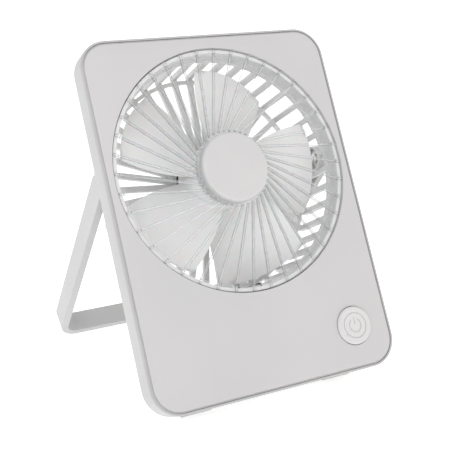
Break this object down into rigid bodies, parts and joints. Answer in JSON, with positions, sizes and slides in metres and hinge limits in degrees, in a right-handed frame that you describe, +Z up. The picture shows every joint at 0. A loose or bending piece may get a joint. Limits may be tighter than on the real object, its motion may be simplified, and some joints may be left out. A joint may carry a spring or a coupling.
{
  "type": "desk fan",
  "caption": "Slim rechargeable desk fan: flat case with a round grille, spinning impeller, push button and a U-shaped stand that folds.",
  "frame": {"origin": "bottom centre of the standing fan's bounding box, on the table", "axes": "+Z up; the grille faces -Y, leaning back towards +Y; +X is the viewer's right, the side with the power button; the stand is at +Y"},
  "size_m": [0.135, 0.1574, 0.1736],
  "materials": {
    "body_white": "satin moulded ABS",
    "cover_white": "fine matt moulded ABS",
    "cap_white": "glossy moulded ABS",
    "grille_clear": "clear moulded styrene",
    "rear_white": "moulded ABS",
    "impeller_white": "moulded polypropylene",
    "pad_rubber": "matt rubber",
    "inner_plastic": "moulded nylon",
    "bright_steel": "turned and plated steel",
    "magnet_grey": "bonded ferrite",
    "core_steel": "laminated electrical steel",
    "copper": "enamelled copper wire",
    "bronze": "sintered bronze",
    "board_green": "solder-masked fibreglass",
    "chip_black": "moulded epoxy",
    "lead_cover": "soft PVC",
    "cell_wrap": "shrink-wrapped steel can",
    "nickel": "nickel strip"
  },
  "bodies": {
    "case": {"rear_shell": "body_white", "front_cover": "cover_white", "grille_cap": "cap_white", "front_grille": "grille_clear", "rear_grille": "rear_white", "base_feet": "pad_rubber", "button_cushion": "pad_rubber", "motor_mount": "inner_plastic", "battery_tray": "inner_plastic", "tact_switch": "inner_plastic", "usb_tongue": "inner_plastic", "lead_plugs": "inner_plastic", "cover_screws": "bright_steel", "grille_screws": "bright_steel", "motor_screws": "bright_steel", "board_screws": "bright_steel", "tray_screws": "bright_steel", "usb_socket": "bright_steel", "stator_core": "core_steel", "stator_coils": "copper", "shaft_bush": "bronze", "main_board": "board_green", "motor_board": "board_green", "board_chips": "chip_black", "motor_lead": "lead_cover", "battery_leads": "lead_cover", "battery_cells": "cell_wrap", "battery_tabs": "nickel"},
    "impeller_rotor": {"impeller": "impeller_white", "rotor_yoke": "bright_steel", "rotor_magnet": "magnet_grey", "motor_shaft": "bright_steel", "shaft_clip": "bright_steel"},
    "stand": {"u_stand": "body_white", "retaining_washers": "bright_steel", "pivot_screws": "bright_steel", "friction_washers": "inner_plastic"},
    "button": {"power_button": "body_white", "switch_plunger": "inner_plastic"}
  },
  "joints": [
    {"name": "impeller_spin", "type": "hinge", "parent": "case", "child": "impeller_rotor", "pos_m": [0, -0.01535, 0.10239], "axis": [0, -0.9078, 0.4195], "continuous": true},
    {"name": "stand_hinge", "type": "hinge", "parent": "case", "child": "stand", "pos_m": [0, -0.01392, 0.10502], "axis": [1, 0, 0], "range_deg": [-65.82, 114.08]},
    {"name": "button_press", "type": "slide", "parent": "case", "child": "button", "axis": [0, 0.9078, -0.4195], "range_m": [0, 0.00045], "stiffness_N_per_m": 3000, "springref_m": -0.0002}
  ]
}
